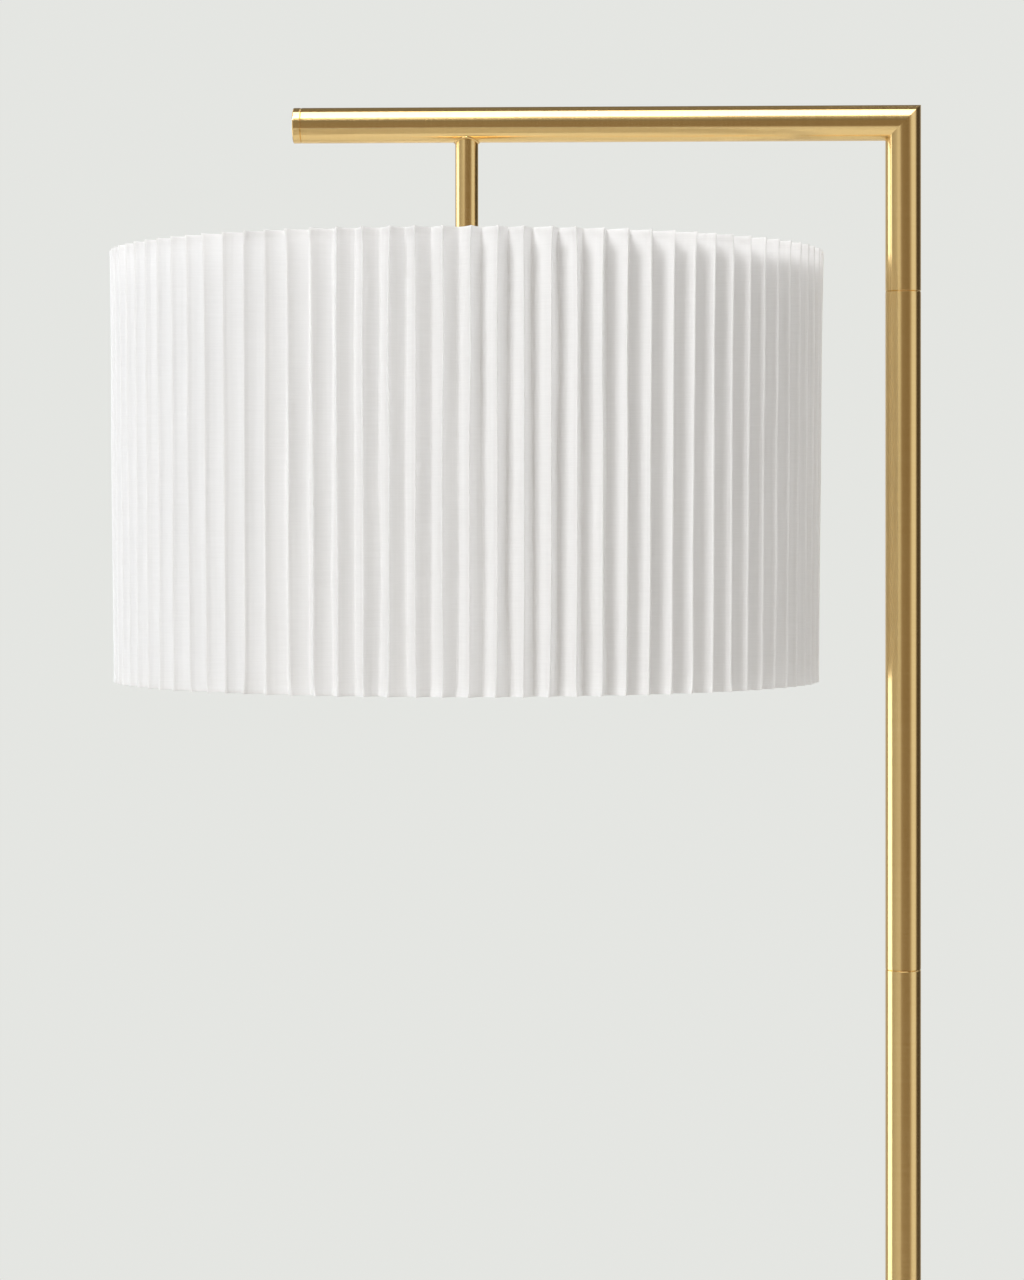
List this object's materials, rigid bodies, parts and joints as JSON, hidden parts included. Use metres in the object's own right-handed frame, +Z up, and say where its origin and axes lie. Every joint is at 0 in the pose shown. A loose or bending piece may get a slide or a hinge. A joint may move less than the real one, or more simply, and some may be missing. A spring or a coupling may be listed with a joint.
{
  "type": "arc floor lamp",
  "caption": "Floor lamp: round weighted base, straight screwed tube pole, mitred horizontal arm, short stem and a pleated drum shade round an opal bulb.",
  "frame": {"origin": "on the floor, at the axis of the pole, in the underside of the base", "axes": "+Z up along the pole; -X along the arm towards the shade; -Y is the front, where the switch knob points, and +Y the back, where the cord inlet is"},
  "size_m": [0.5849, 0.4, 1.6545],
  "materials": {
    "satin_brass": "satin, brass-plated and lacquered steel, brushed round the tube",
    "cast_iron": "rough cast, black dip",
    "felt": "pressed felt",
    "plated_steel": "zinc-plated",
    "black_plastic": "moulded, fine matt",
    "phenolic": "moulded phenolic",
    "contact_brass": "drawn, bright",
    "pleated_fabric": "off-white woven polyester, heat-set pleats",
    "styrene_liner": "matt white styrene sheet",
    "edge_tape": "off-white woven tape",
    "white_wire": "white powder coat",
    "fibre": "vulcanised fibre",
    "opal_glass": "opal, satin",
    "nickel_cap": "nickel-plated, rolled thread",
    "bulb_black": "glossy vitrite",
    "lead_sheath": "round flexible sheath"
  },
  "bodies": {
    "root": {"base_cover": "satin_brass", "pole_collar": "satin_brass", "pole_section_1": "satin_brass", "pole_section_2": "satin_brass", "pole_section_3": "satin_brass", "pole_section_4": "satin_brass", "drop_tube": "satin_brass", "arm_tube": "satin_brass", "arm_end_cap": "satin_brass", "stem_tube": "satin_brass", "holder_cap": "satin_brass", "holder_shell": "satin_brass", "base_weight": "cast_iron", "base_felt": "felt", "base_plate": "plated_steel", "base_washer": "plated_steel", "base_nut": "plated_steel", "base_stud": "plated_steel", "stem_nipple": "plated_steel", "drop_tube_insert": "plated_steel", "terminal_screws": "plated_steel", "seam_1_nipple": "plated_steel", "seam_2_nipple": "plated_steel", "seam_3_nipple": "plated_steel", "seam_4_nipple": "plated_steel", "section_1_bottom_insert": "plated_steel", "section_1_top_insert": "plated_steel", "section_2_bottom_insert": "plated_steel", "section_2_top_insert": "plated_steel", "section_3_bottom_insert": "plated_steel", "section_3_top_insert": "plated_steel", "section_4_bottom_insert": "plated_steel", "section_4_top_insert": "plated_steel", "cord_gland": "black_plastic", "switch_body": "black_plastic", "insulating_sleeve": "phenolic", "screw_shell": "contact_brass", "centre_contact": "contact_brass", "lamp_lead": "lead_sheath"},
    "switch": {"switch_knob": "black_plastic", "switch_shaft": "plated_steel"},
    "bulb": {"bulb_glass": "opal_glass", "bulb_cap": "nickel_cap", "bulb_insulator": "bulb_black", "bulb_contact": "nickel_cap"},
    "washer": {"slip_washer": "fibre"},
    "ring": {"retaining_ring": "black_plastic"},
    "shade": {"pleated_cover": "pleated_fabric", "shade_liner": "styrene_liner", "top_ring": "white_wire", "bottom_ring": "white_wire", "top_edge_tape": "edge_tape", "bottom_edge_tape": "edge_tape", "spider_hub": "white_wire", "spider_arms": "white_wire"}
  },
  "joints": [
    {"name": "switch_turn", "type": "hinge", "parent": "root", "child": "switch", "pos_m": [-0.245, -0.03, 1.5418], "axis": [0, -1, 0], "continuous": true},
    {"name": "bulb_withdraw", "type": "slide", "parent": "root", "child": "bulb", "axis": [0, 0, -1], "range_m": [0, 0.2]},
    {"name": "shade_drop", "type": "slide", "parent": "root", "child": "washer", "axis": [0, 0, -1], "range_m": [0, 0.0075]},
    {"name": "ring_turn", "type": "hinge", "parent": "washer", "child": "ring", "pos_m": [-0.245, 0, 1.5273], "axis": [0, 0, -1], "range_deg": [0, 1080]},
    {"name": "shade_turn", "type": "hinge", "parent": "washer", "child": "shade", "pos_m": [-0.245, 0, 1.5328], "axis": [0, 0, 1], "continuous": true}
  ],
  "couplings": [
    {"joint": "ring_turn", "follows": "shade_drop", "rad_per_m": 2513.3}
  ]
}
